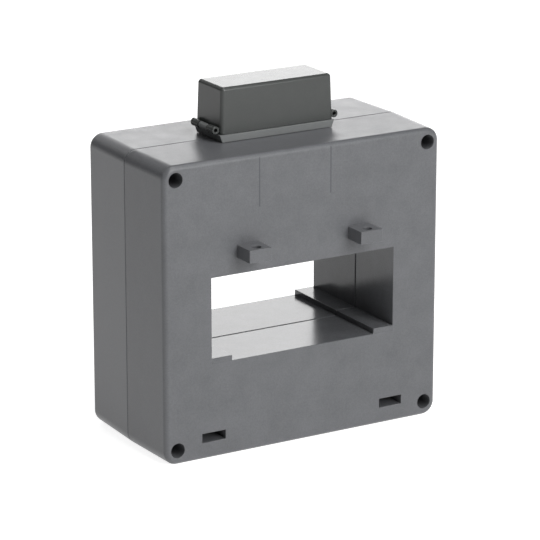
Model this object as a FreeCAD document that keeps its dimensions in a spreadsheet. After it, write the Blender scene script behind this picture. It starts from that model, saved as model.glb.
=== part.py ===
"""Window-type busbar current transformer in a two-shell moulded housing.

Frame: the origin is the middle of the underside, on the parting plane between the two
shells. +Z is up, +X is to the right as seen from the front, and the front face, which
carries the two busbar lugs, looks along -Y. All sizes are in millimetres.
"""
import FreeCAD, Part
import math
import os
import re

import Sketcher

doc = FreeCAD.newDocument("CurrentTransformer")
V = FreeCAD.Vector

# Driving dimensions, one cell each, with the alias that every expression below uses.
SIZES = [
    ("side_margin", 21.2, "side edge of the window to the side wall, at the parting plane"),
    ("housing_height", 117.4, "underside to roof, at the parting plane"),
    ("front_depth", 28.8, "parting plane to front face"),
    ("rear_depth", 30.8, "parting plane to rear face"),
    ("shell_wall", 3.0, "side, roof, floor and face walls"),
    ("side_draft", 1.8, "degrees by which each side wall leans in towards the face"),
    ("roof_draft", 0.4, "degrees by which the roof falls towards the face"),
    ("hollow_draft", 1.0, "degrees by which the hollow narrows towards the face"),
    ("corner_radius", 5.3, "corners of the housing, seen from the front"),
    ("face_edge_radius", 2.0, "rounding all round each face"),
    ("seam_chamfer", 0.25, "on the outer edges where the two shells meet"),
    ("window_seam_chamfer", 0.4, "on their edges in the window"),
    ("window_width", 81.0, "busbar window, over the two ledges"),
    ("window_top", 71.7, "height of the window's top edge"),
    ("ledge_height", 39.9, "height of the ledges that carry a wide bar"),
    ("channel_width", 63.3, "middle channel that takes a narrow bar"),
    ("channel_depth", 2.1, "channel floor below the ledges"),
    ("tube_wall", 2.5, "wall of the window tube inside the housing"),
    ("tube_lap", 1.2, "rear window tube reaches this far past the parting plane"),
    ("lip_thickness", 1.35, "locating lip of the rear shell"),
    ("lip_height", 1.5, "how far the lip enters the front shell"),
    ("lap_clearance", 0.15, "between lip and rebate, and wherever a piece drops into a pocket"),
    ("screw_inset", 6.2, "housing screw axis to the side wall, at the parting plane"),
    ("screw_level", 5.7, "lower screw axis above the underside, and upper one below the roof"),
    ("post_margin", 4.6, "screw axis to the inner sides of its corner post"),
    ("counterbore_radius", 2.9, "deep holes in the front face that take the screw heads"),
    ("counterbore_depth", 22.0, "front face to the seat of the screw head"),
    ("screw_radius", 1.75, "thread-forming housing screw"),
    ("screw_length", 20.0, "below the head"),
    ("pilot_reserve", 1.0, "blind pilot hole beyond the screw's point"),
    ("screw_head_radius", 2.65, "pan head of the housing screw"),
    ("screw_head_height", 2.3, "pan head of the housing screw"),
    ("screw_clearance", 0.1, "radial, round the shank of a screw"),
    ("screw_recess_depth", 1.3, "cross recess in the pan head"),
    ("foot_slot_spacing", 79.5, "between the middles of the two foot-bracket slots"),
    ("foot_slot_level", 8.6, "height of the middle of the slots"),
    ("foot_slot_width", 10.2, "each slot, across"),
    ("foot_slot_height", 3.6, "each slot, upright"),
    ("foot_slot_depth", 9.0, "blind depth of the slot from the face"),
    ("foot_socket_wall", 1.5, "moulded socket behind each slot"),
    ("lug_spacing", 49.1, "between the middles of the two busbar lugs"),
    ("lug_width", 9.7, "each lug, across"),
    ("lug_thickness", 5.1, "each lug, upright"),
    ("lug_level", 78.0, "height of the lug's lower face"),
    ("lug_length", 9.4, "how far the lugs stand out from the front face"),
    ("lug_hole_radius", 1.9, "upright hole for the bar-clamping screw"),
    ("lug_hole_reach", 5.9, "front face to the hole's axis"),
    ("core_side_gap", 3.5, "window tube to the upright limbs of the core"),
    ("core_build", 7.0, "thickness of the wound strip"),
    ("core_inner_radius", 3.0, "bend inside each core corner"),
    ("cap_wall", 1.0, "insulating caps over the core"),
    ("coil_build", 3.0, "thickness of the winding round a limb"),
    ("coil_length", 76.0, "along the limb"),
    ("wrap_thickness", 0.7, "tape over the winding"),
    ("wrap_overhang", 2.0, "tape beyond each end of the winding"),
    ("coil_gap", 0.5, "window tube to the taped winding"),
    ("nest_clearance", 0.1, "between layers that sit over each other"),
    ("fit_gap", 0.3, "taped winding to the shell faces and cradle ribs"),
    ("cradle_spacing", 44.0, "between the two ribs that carry the lower winding"),
    ("cradle_rib", 2.0, "rib thickness"),
    ("cradle_depth", 16.0, "rib length from the face wall"),
    ("base_offset", 0.9, "middle of the terminal base and cover behind the parting plane"),
    ("plinth_height", 3.0, "visible plinth of the terminal base"),
    ("plinth_foot_length", 48.6, "plinth where it meets the roof"),
    ("plinth_top_length", 50.8, "plinth under the cover, flared to carry the sealing posts"),
    ("neck_length", 40.0, "waist of the base that passes the roof"),
    ("neck_width", 14.0, "waist, front to rear"),
    ("flange_margin", 2.0, "inner flange beyond the waist"),
    ("flange_thickness", 3.0, "inner flange below the roof"),
    ("spigot_height", 1.8, "raised deck that the cover slips over"),
    ("barrier_thickness", 1.6, "wall between the two terminals"),
    ("barrier_height", 8.0, "above the deck"),
    ("barrier_inset", 0.5, "ends of the barrier to the sides of the deck"),
    ("cover_length", 49.6, "cover at its open edge"),
    ("cover_width", 19.8, "cover at its open edge, front to rear"),
    ("cover_top_length", 48.5, "cover near its top"),
    ("cover_top_width", 19.1, "cover near its top, front to rear"),
    ("cover_height", 18.1, "open edge to top"),
    ("cover_wall", 1.4, "side walls"),
    ("cover_roof", 1.6, "top wall"),
    ("cover_edge_radius", 1.4, "outer edges of the cover"),
    ("cover_seam", 0.1, "gap between cover and plinth"),
    ("cover_fit", 0.25, "spigot to the inside of the cover"),
    ("cable_notch_radius", 2.8, "wire notches in the hidden rear wall of the cover"),
    ("cable_notch_height", 4.4, "straight part of the notch below its arch"),
    ("knuckle_radius", 1.55, "sealing eyelets at the cover's ends"),
    ("knuckle_reach", 1.5, "cover's open edge to the eyelet axis, outwards"),
    ("knuckle_level", 1.8, "eyelet axis above the plinth"),
    ("knuckle_length", 5.2, "front and rear eyelets, along the axis"),
    ("knuckle_span", 17.0, "over front and rear eyelets"),
    ("knuckle_shift", 0.1, "eyelets lie this far behind the middle of the cover"),
    ("middle_knuckle_radius", 1.3, "eyelet on the post of the base"),
    ("knuckle_gap", 0.4, "between the eyelets along their axis"),
    ("wire_hole_radius", 0.7, "hole for the sealing wire"),
    ("terminal_spacing", 22.0, "between the two terminal screws"),
    ("bar_length", 11.0, "terminal bar on the deck"),
    ("bar_width", 9.0, "terminal bar, front to rear"),
    ("bar_thickness", 1.5, "sheet of the terminal bar"),
    ("tail_width", 5.0, "solder tail of the bar"),
    ("tail_length", 16.0, "solder tail below the deck"),
    ("bar_clearance", 0.15, "round the solder tail in the base"),
    ("clamp_size", 8.6, "square clamping plate"),
    ("clamp_thickness", 1.2, "square clamping plate"),
    ("terminal_screw_radius", 2.0, "thread of the terminal screw"),
    ("terminal_screw_length", 10.0, "below the head"),
    ("terminal_head_radius", 3.7, "head of the terminal screw"),
    ("terminal_head_height", 2.6, "head of the terminal screw"),
    ("terminal_recess_depth", 1.4, "cross recess in the terminal screw"),
    ("terminal_screw_chamfer", 0.6, "end of the terminal screw"),
    ("thread_clearance", 0.05, "radial, screw in its bar"),
    ("shank_pocket_gap", 0.4, "round and under the screw's end in the base"),
    ("lead_radius", 0.9, "insulated lead from winding to terminal"),
    ("lead_offset", 34.0, "where each lead leaves the winding, from the middle"),
    ("lead_rise", 2.4, "middle of the lead above the end of the solder tail"),
    ("lead_bend", 5.0, "bend radius of the lead"),
]

sheet = doc.addObject("Spreadsheet::Sheet", "Sizes")
for row, (alias, value, note) in enumerate(SIZES, start=1):
    sheet.set(f"A{row}", note)
    sheet.set(f"B{row}", str(value))
    sheet.setAlias(f"B{row}", alias)
doc.recompute()

ALIASES = {alias for alias, _, _ in SIZES}


def size(text):
    """Expression in which each alias is looked up in the sheet."""
    return re.sub(r"[a-z_]+", lambda word: "Sizes." * (word[0] in ALIASES) + word[0], text)


def number(expression):
    """Present value of an expression."""
    value = sheet.evalExpression(expression)
    return float(getattr(value, "Value", value))


# Levels and half sizes that several pieces share, as expressions.
HALF_WIDTH = size("(window_width / 2 + side_margin)")
HEIGHT = size("housing_height")
WALL = size("shell_wall")
FRONT_DEPTH = size("front_depth")
CHANNEL_FLOOR = size("(ledge_height - channel_depth)")
WINDOW_HALF = size("(window_width / 2)")
CHANNEL_HALF = size("(channel_width / 2)")
TUBE_HALF = size("(window_width / 2 + tube_wall)")
TUBE_TOP = size("(window_top + tube_wall)")
TUBE_LOW = size("(ledge_height - channel_depth - tube_wall)")

# Layers between the window tube and the core: wrap, winding, cap and their clearances.
LAYERS = size("(wrap_thickness + coil_build + cap_wall + 3 * nest_clearance)")
CORE_IN_HALF = size("(window_width / 2 + tube_wall + core_side_gap)")
CORE_IN_TOP = f"({TUBE_TOP} + Sizes.coil_gap + {LAYERS})"
CORE_IN_LOW = f"({TUBE_LOW} - Sizes.coil_gap - {LAYERS})"
CORE_HALF_DEPTH = f"((Sizes.front_depth + Sizes.rear_depth) / 2 - {WALL} - Sizes.fit_gap - {LAYERS})"
CORE_MIDDLE = size("((rear_depth - front_depth) / 2)")

PLINTH_TOP = size("(housing_height + plinth_height)")
DECK = f"({PLINTH_TOP} + Sizes.spigot_height)"
COVER_LOW = f"({PLINTH_TOP} + Sizes.cover_seam)"
COVER_TOP = f"({COVER_LOW} + Sizes.cover_height)"
KNUCKLE_X = size("(cover_length / 2 + knuckle_reach)")
BASE_Y = size("base_offset")
KNUCKLE_Y = size("(knuckle_shift + base_offset)")
KNUCKLE_Z = f"({PLINTH_TOP} + Sizes.knuckle_level)"
BAR_TOP = f"({DECK} + Sizes.bar_thickness)"
CLAMP_TOP = f"({BAR_TOP} + Sizes.clamp_thickness)"
TERMINAL_X = size("(terminal_spacing / 2)")

# Cuts start this far outside what they cut, and pads this far inside what carries them.
PAST = "1"

# Shares of a screw head's radius and height: crown, rim, and the arms of the cross recess.
CROWN_SHARE = 0.78
RIM_SHARE = 0.65
RECESS_SHARE = 0.6
RECESS_ARM_SHARE = 0.13
POINT_SHARE = 0.3

PLANES = {"XY": ("XY_Plane", 1), "XZ": ("XZ_Plane", -1), "YZ": ("YZ_Plane", 1)}


def new_body(label):
    """Empty body whose label is the name of the piece."""
    body = doc.addObject("PartDesign::Body", label)
    body.Label = label
    return body


def new_sketch(body, name, plane, level):
    """Sketch on one of the body's own origin planes, moved to a level along its axis."""
    role, direction = PLANES[plane]
    support = [part for part in body.Origin.OriginFeatures if part.Role == role][0]
    sketch = body.newObject("Sketcher::SketchObject", f"{body.Name}_{name}_sketch")
    sketch.AttachmentSupport = (support, [""])
    sketch.MapMode = "FlatFace"
    sketch.setExpression("AttachmentOffset.Base.z", f"{direction} * ({level})")
    return sketch


def pin(sketch, geometry, point, across=None, up=None):
    """Hold a point at its distances from the sketch's origin, each bound to the sheet."""
    for kind, axis, expression in (("DistanceX", -2, across), ("DistanceY", -1, up)):
        if expression is None:
            continue
        value = number(expression)
        if abs(value) < 1e-9:
            sketch.addConstraint(Sketcher.Constraint("PointOnObject", geometry, point, axis))
            continue
        ends = (-1, 1, geometry, point) if value > 0 else (geometry, point, -1, 1)
        index = sketch.addConstraint(Sketcher.Constraint(kind, *ends, abs(value)))
        bound = expression if value > 0 else f"-({expression})"
        sketch.setExpression(f"Constraints[{index}]", bound)


def draw_outline(sketch, points):
    """Closed outline of straight lines through points given as pairs of expressions."""
    places = [V(number(x), number(y), 0) for x, y in points]
    first = sketch.GeometryCount
    count = len(points)
    for here, there in zip(places, places[1:] + places[:1]):
        sketch.addGeometry(Part.LineSegment(here, there), False)
    for step, (x, y) in enumerate(points):
        following = first + (step + 1) % count
        sketch.addConstraint(Sketcher.Constraint("Coincident", first + step, 2, following, 1))
        pin(sketch, first + step, 1, x, y)


def draw_box(sketch, left, right, low, high):
    """Plain rectangle."""
    draw_outline(sketch, [(left, low), (right, low), (right, high), (left, high)])


def draw_rounded(sketch, left, right, low, high, radius):
    """Rectangle whose corners are arcs."""
    inner = (f"({left} + {radius})", f"({right} - {radius})",
             f"({low} + {radius})", f"({high} - {radius})")
    ends = [(inner[0], low), (inner[1], low), (right, inner[2]), (right, inner[3]),
            (inner[1], high), (inner[0], high), (left, inner[3]), (left, inner[2])]
    centres = [(inner[1], inner[2]), (inner[1], inner[3]),
               (inner[0], inner[3]), (inner[0], inner[2])]
    places = [V(number(x), number(y), 0) for x, y in ends]
    first = sketch.GeometryCount
    for side in range(4):
        start, end = places[2 * side], places[2 * side + 1]
        sketch.addGeometry(Part.LineSegment(start, end), False)
    for corner, (x, y) in enumerate(centres):
        circle = Part.Circle(V(number(x), number(y), 0), V(0, 0, 1), number(radius))
        begin = math.pi / 2 * (corner - 1)
        sketch.addGeometry(Part.ArcOfCircle(circle, begin, begin + math.pi / 2), False)
    for side in range(4):
        line, arc = first + side, first + 4 + side
        following = first + (side + 1) % 4
        pin(sketch, line, 1, *ends[2 * side])
        pin(sketch, line, 2, *ends[2 * side + 1])
        sketch.addConstraint(Sketcher.Constraint("Coincident", line, 2, arc, 1))
        sketch.addConstraint(Sketcher.Constraint("Coincident", arc, 2, following, 1))
        pin(sketch, arc, 3, across=centres[side][0])


def draw_circle(sketch, across, up, radius):
    """Circle with its middle and radius bound."""
    circle = Part.Circle(V(number(across), number(up), 0), V(0, 0, 1), number(radius))
    index = sketch.addGeometry(circle, False)
    pin(sketch, index, 3, across, up)
    bound = sketch.addConstraint(Sketcher.Constraint("Radius", index, number(radius)))
    sketch.setExpression(f"Constraints[{bound}]", radius)


def extrude(body, kind, name, plane, start, end, draw, taper=None):
    """Pad or pocket of a drawn outline between two levels along the plane's axis."""
    sketch = new_sketch(body, name, plane, start)
    draw(sketch)
    feature = body.newObject("PartDesign::" + kind, f"{body.Name}_{name}")
    feature.Profile = sketch
    travel = number(end) - number(start)
    along_normal = travel * PLANES[plane][1] > 0
    feature.Reversed = along_normal if kind == "Pocket" else not along_normal
    ordered = f"({end}) - ({start})" if travel > 0 else f"({start}) - ({end})"
    feature.setExpression("Length", ordered)
    if taper:
        feature.setExpression("TaperAngle", taper)
    sketch.Visibility = False
    return feature


def pad(body, name, plane, start, end, draw, taper=None):
    return extrude(body, "Pad", name, plane, start, end, draw, taper)


def pocket(body, name, plane, start, end, draw, taper=None):
    """Cut, which has to take something away."""
    doc.recompute()
    before = body.Shape.Volume
    feature = extrude(body, "Pocket", name, plane, start, end, draw, taper)
    doc.recompute()
    if not body.Shape.Volume < before - 1e-6:
        raise RuntimeError(f"{feature.Name} cuts nothing")
    return feature


def finish_edges(body, kind, name, amount, wanted):
    """Fillet or chamfer on every edge of the body that passes the test."""
    doc.recompute()
    tip = body.Tip
    names = [f"Edge{index}" for index, edge in enumerate(tip.Shape.Edges, start=1) if wanted(edge)]
    if not names:
        raise RuntimeError(f"{body.Name}_{name} finds no edges")
    feature = body.newObject("PartDesign::" + kind, f"{body.Name}_{name}")
    feature.Base = (tip, names)
    feature.setExpression("Radius" if kind == "Fillet" else "Size", amount)
    return feature


def lies_on(edge, axis, level, tolerance=1e-4):
    """True for an edge that lies wholly at one level of an axis: 0, 1 or 2 for X, Y or Z."""
    spots = [edge.valueAt(edge.FirstParameter), edge.valueAt(edge.LastParameter),
             edge.valueAt((edge.FirstParameter + edge.LastParameter) / 2)]
    return all(abs(spot[axis] - level) < tolerance for spot in spots)


def borders_window(edge):
    """True for an edge on the rim of the busbar window, and not on the outside of its tube."""
    middle = edge.valueAt((edge.FirstParameter + edge.LastParameter) / 2)
    return (abs(middle.x) < number(TUBE_HALF) - 0.01
            and number(TUBE_LOW) + 0.01 < middle.z < number(TUBE_TOP) - 0.01)


def window_outline(sketch):
    """Busbar window: wide upper part on two ledges, and a shallow channel between them."""
    ledge = size("ledge_height")
    top = size("window_top")
    draw_outline(sketch, [
        (f"-{CHANNEL_HALF}", CHANNEL_FLOOR), (CHANNEL_HALF, CHANNEL_FLOOR),
        (CHANNEL_HALF, ledge), (WINDOW_HALF, ledge), (WINDOW_HALF, top),
        (f"-{WINDOW_HALF}", top), (f"-{WINDOW_HALF}", ledge), (f"-{CHANNEL_HALF}", ledge)])


def inset_outline(sketch, inset):
    """Outline of the housing, drawn inwards by an inset."""
    draw_rounded(sketch, f"(-{HALF_WIDTH} + {inset})", f"({HALF_WIDTH} - {inset})",
                 inset, f"({HEIGHT} - {inset})", f"(Sizes.corner_radius - {inset})")


def corner_places():
    """Axes of the four housing screws."""
    across = f"({HALF_WIDTH} - Sizes.screw_inset)"
    low = size("screw_level")
    high = f"({HEIGHT} - {low})"
    return {"top_left": (f"-{across}", high), "top_right": (across, high),
            "bottom_left": (f"-{across}", low), "bottom_right": (across, low)}


def foot_slots(sketch, margin="0"):
    """The two slots for clip-in mounting feet, low on the face."""
    half = f"(Sizes.foot_slot_width / 2 + {margin})"
    rise = f"(Sizes.foot_slot_height / 2 + {margin})"
    for side in (-1, 1):
        middle = f"({side} * Sizes.foot_slot_spacing / 2)"
        draw_box(sketch, f"({middle} - {half})", f"({middle} + {half})",
                 f"(Sizes.foot_slot_level - {rise})", f"(Sizes.foot_slot_level + {rise})")


def hollow_outline(sketch):
    """Inside of a shell, which leaves a square post for a screw in each corner."""
    right = f"({HALF_WIDTH} - {WALL})"
    right_post = f"({HALF_WIDTH} - Sizes.screw_inset - Sizes.post_margin)"
    left, left_post = f"-{right}", f"-{right_post}"
    low_post = size("(screw_level + post_margin)")
    high, high_post = f"({HEIGHT} - {WALL})", f"({HEIGHT} - {low_post})"
    draw_outline(sketch, [
        (left_post, WALL), (right_post, WALL), (right_post, low_post), (right, low_post),
        (right, high_post), (right_post, high_post), (right_post, high), (left_post, high),
        (left_post, high_post), (left, high_post), (left, low_post), (left_post, low_post)])


WRAP_LOW = f"({CORE_IN_LOW} - Sizes.core_build - {LAYERS})"


def drafted_block(body, face, depth):
    """Solid half housing: sides and roof drafted towards the face, the underside level."""
    inward = f"({depth} * tan(Sizes.side_draft))"
    fall = f"({depth} * tan(Sizes.roof_draft))"
    pad(body, "block", "XZ", "0", face, lambda s: draw_box(
        s, f"-{HALF_WIDTH}", HALF_WIDTH, "0", HEIGHT))

    def side_wedges(sketch):
        for side in ("-", ""):
            outside = f"{side}({HALF_WIDTH} + {PAST})"
            draw_outline(sketch, [(f"{side}{HALF_WIDTH}", "0"), (f"{side}({HALF_WIDTH} - {inward})", face),
                                  (outside, face), (outside, "0")])
    pocket(body, "side_draft", "XY", f"({HEIGHT} + {PAST})", f"-{PAST}", side_wedges)

    def roof_wedge(sketch):
        above = f"({HEIGHT} + {PAST})"
        draw_outline(sketch, [("0", HEIGHT), (face, f"({HEIGHT} - {fall})"), (face, above), ("0", above)])
    side_reach = f"({HALF_WIDTH} + {PAST})"
    pocket(body, "roof_draft", "YZ", f"-{side_reach}", side_reach, roof_wedge)
    length = number(depth)
    finish_edges(body, "Fillet", "corners", size("corner_radius"),
                 lambda edge: edge.BoundBox.YLength > length - 0.01)
    face_level = number(face)
    finish_edges(body, "Fillet", "face_edge", size("face_edge_radius"),
                 lambda edge: lies_on(edge, 1, face_level))
    finish_edges(body, "Chamfer", "seam", size("seam_chamfer"), lambda edge: lies_on(edge, 1, 0))


def housing_shell(label, front):
    """One moulded half: drafted box, window tube, screw posts, sockets and cradle ribs."""
    way = "-1" if front else "1"
    depth = FRONT_DEPTH if front else size("rear_depth")
    face = f"({way} * {depth})"
    inside = f"({way} * ({depth} - {WALL}))"
    body = new_body(label)
    drafted_block(body, face, depth)
    pocket(body, "hollow", "XZ", "0", inside, hollow_outline, size("-hollow_draft"))
    tube_end = size("-tube_lap")
    pad(body, "window_tube", "XZ", tube_end, inside, lambda s: draw_box(
        s, f"-{TUBE_HALF}", TUBE_HALF, TUBE_LOW, TUBE_TOP))

    def cradle(sketch):
        for side in (-1, 1):
            middle = f"({side} * Sizes.cradle_spacing / 2)"
            draw_box(sketch, f"({middle} - Sizes.cradle_rib / 2)", f"({middle} + Sizes.cradle_rib / 2)",
                     f"({WALL} / 2)", f"({WRAP_LOW} - Sizes.fit_gap)")
    rib_end = f"({way} * ({depth} - {WALL} - Sizes.cradle_depth))"
    pad(body, "cradle", "XZ", rib_end, inside, cradle)
    socket_end = f"({way} * ({depth} - Sizes.foot_slot_depth - Sizes.foot_socket_wall))"
    pad(body, "foot_sockets", "XZ", socket_end, inside,
        lambda s: foot_slots(s, size("foot_socket_wall")))
    beyond = f"({way} * ({depth} + {PAST}))"
    pocket(body, "window", "XZ", f"-({way}) * 2 * Sizes.tube_lap", beyond, window_outline)
    joint = number(tube_end)
    finish_edges(body, "Chamfer", "window_seam", size("window_seam_chamfer"),
                 lambda edge: lies_on(edge, 1, joint) and borders_window(edge))
    slot_end = f"({way} * ({depth} - Sizes.foot_slot_depth))"
    pocket(body, "foot_slots", "XZ", beyond, slot_end, foot_slots)
    return body


def front_shell():
    """Front half, with the counterbored screw holes, the rebate and the two busbar lugs."""
    body = housing_shell("front_shell", True)
    face = f"(-{FRONT_DEPTH})"
    rebate = size("(lip_height + lap_clearance)")

    def rebate_ring(sketch):
        inset_outline(sketch, size("(shell_wall - lip_thickness - lap_clearance)"))
        inset_outline(sketch, WALL)
    pocket(body, "rebate", "XZ", "0", f"-{rebate}", rebate_ring)

    seat = f"(-{FRONT_DEPTH} + Sizes.counterbore_depth)"

    def counterbores(sketch):
        for across, up in corner_places().values():
            draw_circle(sketch, across, up, size("counterbore_radius"))
    pocket(body, "counterbores", "XZ", f"({face} - {PAST})", seat, counterbores)

    def screw_holes(sketch):
        for across, up in corner_places().values():
            draw_circle(sketch, across, up, size("(screw_radius + screw_clearance)"))
    pocket(body, "screw_holes", "XZ", f"({seat} - {PAST})", PAST, screw_holes)

    lug_half = size("(lug_width / 2)")
    low = size("lug_level")
    high = size("(lug_level + lug_thickness)")

    def lugs(sketch):
        for side in (-1, 1):
            middle = f"({side} * Sizes.lug_spacing / 2)"
            draw_box(sketch, f"({middle} - {lug_half})", f"({middle} + {lug_half})", low, high)
    pad(body, "lugs", "XZ", f"({face} + {WALL} / 2)", f"({face} - Sizes.lug_length)", lugs)

    def lug_holes(sketch):
        for side in (-1, 1):
            draw_circle(sketch, f"({side} * Sizes.lug_spacing / 2)",
                        f"({face} - Sizes.lug_hole_reach)", size("lug_hole_radius"))
    pocket(body, "lug_holes", "XY", f"({high} + {PAST})", f"({low} - {PAST})", lug_holes)
    roof_notch(body)
    return body


def rear_shell():
    """Rear half, with blind pilot holes for the screws and the locating lip."""
    body = housing_shell("rear_shell", False)

    def lip_ring(sketch):
        inset_outline(sketch, size("(shell_wall - lip_thickness)"))
        inset_outline(sketch, WALL)
    pad(body, "lip", "XZ", size("shell_wall"), size("-lip_height"), lip_ring)

    depth = f"({FRONT_DEPTH} - Sizes.counterbore_depth)"
    reach = f"(Sizes.screw_length - {depth} + Sizes.pilot_reserve)"

    def pilots(sketch):
        for across, up in corner_places().values():
            draw_circle(sketch, across, up, size("(screw_radius + screw_clearance)"))
    pocket(body, "pilots", "XZ", f"(-{PAST} - Sizes.lip_height)", reach, pilots)
    roof_notch(body)
    return body


def roof_notch(body):
    """Gap in the roof that the waist of the terminal base passes through."""
    half = size("(neck_length / 2 + lap_clearance)")
    reach = size("(neck_width / 2 + lap_clearance)")
    middle = BASE_Y
    pocket(body, "roof_notch", "XY", f"({HEIGHT} + {PAST})", f"({HEIGHT} - {WALL} - {PAST})",
           lambda s: draw_box(s, f"-{half}", half, f"({middle} - {reach})", f"({middle} + {reach})"))


def drive_recess(body, plane, top, depth, head):
    """Cross recess in a screw head, as two crossing slots."""
    reach, width = f"({head} * {RECESS_SHARE})", f"({head} * {RECESS_ARM_SHARE})"
    for name, across, up in (("slot", reach, width), ("cross", width, reach)):
        pocket(body, name, plane, top, depth,
               lambda s, a=across, u=up: draw_box(s, f"-{a}", a, f"-{u}", u))


def turned(body, name, plane, points):
    """Revolve a half profile, given as radius and height, round the sketch's upright axis."""
    sketch = new_sketch(body, name, plane, "0")
    draw_outline(sketch, points)
    feature = body.newObject("PartDesign::Revolution", f"{body.Name}_{name}")
    feature.Profile = sketch
    feature.ReferenceAxis = (sketch, ["V_Axis"])
    feature.Angle = 360
    sketch.Visibility = False
    return feature


def housing_screw(label, across, up):
    """Thread-forming screw with a pan head, lying along Y with its point to the rear."""
    body = new_body(f"housing_screw_{label}")
    head = size("screw_head_radius")
    high = size("screw_head_height")
    shank = size("screw_radius")
    length = size("screw_length")
    turned(body, "turned", "XY", [
        ("0", f"-{high}"), (f"({head} * {CROWN_SHARE})", f"-{high}"), (head, f"(-{high} * {RIM_SHARE})"),
        (head, "0"), (shank, "0"), (shank, f"({length} - {shank})"),
        (f"({shank} * {POINT_SHARE})", length), ("0", length)])
    drive_recess(body, "XZ", f"(-{high} - {PAST})", f"(-{high} + Sizes.screw_recess_depth)", head)
    body.setExpression("Placement.Base.x", across)
    body.setExpression("Placement.Base.y", f"-({FRONT_DEPTH} - Sizes.counterbore_depth)")
    body.setExpression("Placement.Base.z", up)
    return body


def frame_outline(sketch, grow):
    """Outer and inner outline of the core's frame, with its section grown by an amount."""
    build = size("core_build")
    inner = size("core_inner_radius")
    out_half = f"({CORE_IN_HALF} + {build} + {grow})"
    in_half = f"({CORE_IN_HALF} - {grow})"
    draw_rounded(sketch, f"-{out_half}", out_half, f"({CORE_IN_LOW} - {build} - {grow})",
                 f"({CORE_IN_TOP} + {build} + {grow})", f"({inner} + {build} + {grow})")
    draw_rounded(sketch, f"-{in_half}", in_half, f"({CORE_IN_LOW} + {grow})",
                 f"({CORE_IN_TOP} - {grow})", f"({inner} - {grow})")


def core():
    """Frame wound from silicon-steel strip, with rounded corners."""
    body = new_body("core")
    pad(body, "frame", "XZ", f"-{CORE_HALF_DEPTH}", CORE_HALF_DEPTH, lambda s: frame_outline(s, "0"))
    body.setExpression("Placement.Base.y", CORE_MIDDLE)
    return body


CAP_GROW = size("(cap_wall + nest_clearance)")


def core_cap(label, way):
    """Moulded channel that insulates one side of the core, and meets its twin half way."""
    body = new_body(label)
    back = f"({way} * ({CORE_HALF_DEPTH} + {CAP_GROW}))"
    floor = f"({way} * ({CORE_HALF_DEPTH} + Sizes.nest_clearance))"
    seam = f"({way} * Sizes.nest_clearance / 2)"
    pad(body, "frame", "XZ", seam, back, lambda s: frame_outline(s, CAP_GROW))
    back_level = number(back)
    finish_edges(body, "Fillet", "rim", size("cap_wall"), lambda edge: lies_on(edge, 1, back_level))
    pocket(body, "channel", "XZ", f"({way} * -{PAST})", floor,
           lambda s: frame_outline(s, size("nest_clearance")))
    body.setExpression("Placement.Base.y", CORE_MIDDLE)
    return body


def sleeve(label, limb_low, limb_high, inner, thickness, length):
    """Closed sleeve round a level limb of the core, inner being its gap from the strip."""
    body = new_body(label)

    def section(sketch):
        for grow in (inner, f"({inner} + {thickness})"):
            half = f"({CORE_HALF_DEPTH} + {grow})"
            draw_rounded(sketch, f"-{half}", half, f"({limb_low} - {grow})",
                         f"({limb_high} + {grow})", f"({grow} - Sizes.nest_clearance)")
    pad(body, "section", "YZ", f"(-{length} / 2)", f"({length} / 2)", section)
    body.setExpression("Placement.Base.y", CORE_MIDDLE)
    return body


def windings():
    """Secondary winding in two coils, one on each level limb, each under its tape."""
    build = size("core_build")
    limbs = {"top": (CORE_IN_TOP, f"({CORE_IN_TOP} + {build})"),
             "bottom": (f"({CORE_IN_LOW} - {build})", CORE_IN_LOW)}
    on_cap = size("(cap_wall + 2 * nest_clearance)")
    coil = size("coil_build")
    on_coil = size("(cap_wall + 2 * nest_clearance + coil_build + nest_clearance)")
    pieces = []
    for name, (low, high) in limbs.items():
        pieces.append(sleeve(f"coil_{name}", low, high, on_cap, coil, size("coil_length")))
        pieces.append(sleeve(f"coil_wrap_{name}", low, high, on_coil, size("wrap_thickness"),
                             size("(coil_length + 2 * wrap_overhang)")))
    return pieces


def wire_holes(body, reach):
    """Hole for the sealing wire through the eyelets at both ends."""
    def holes(sketch):
        for side in ("-", ""):
            draw_circle(sketch, f"{side}{KNUCKLE_X}", KNUCKLE_Z, size("wire_hole_radius"))
    pocket(body, "wire_holes", "XZ", f"({KNUCKLE_Y} - {reach} - {PAST})",
           f"({KNUCKLE_Y} + {reach} + {PAST})", holes)


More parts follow.
